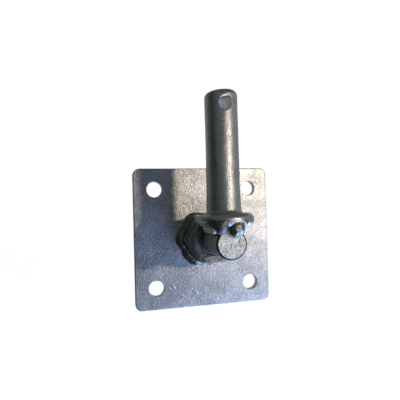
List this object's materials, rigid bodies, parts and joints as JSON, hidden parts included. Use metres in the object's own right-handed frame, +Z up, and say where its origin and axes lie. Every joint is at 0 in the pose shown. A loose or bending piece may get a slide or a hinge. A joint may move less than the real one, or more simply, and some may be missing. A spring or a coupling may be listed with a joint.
{
  "type": "gate hinge pin",
  "caption": "Adjustable gate hinge pin: upright pin with collar and cross-hole, welded to a threaded shank that screws into nuts on a square bolt-on plate.",
  "frame": {"origin": "centre of the four bolt holes on the plate's back face", "axes": "+Z up along the hinge pin, +Y out of the plate's back into the wall or post, +X to the right as seen from the front"},
  "size_m": [0.1, 0.074, 0.1412],
  "materials": {
    "galvanised_plate": "hot-dip galvanised, mottled and lightly spangled",
    "galvanised_nut": "hot-dip galvanised, dull",
    "galvanised_weld": "hot-dip galvanised over rough weld",
    "galvanised_bar": "hot-dip galvanised round bar, grainy sawn end",
    "galvanised_forging": "hot-dip galvanised, smooth with fine zinc grain"
  },
  "bodies": {
    "wall_plate": {"mounting_plate": "galvanised_plate", "weld_nut": "galvanised_nut", "nut_weld": "galvanised_weld", "lock_nut": "galvanised_nut"},
    "pin_arm": {"threaded_shank": "galvanised_bar", "hinge_pin": "galvanised_forging", "pin_weld_left": "galvanised_weld", "pin_weld_right": "galvanised_weld"}
  },
  "joints": [
    {"name": "pin_adjust", "type": "slide", "parent": "wall_plate", "child": "pin_arm", "axis": [0, -1, 0], "range_m": [0, 0.01]}
  ]
}
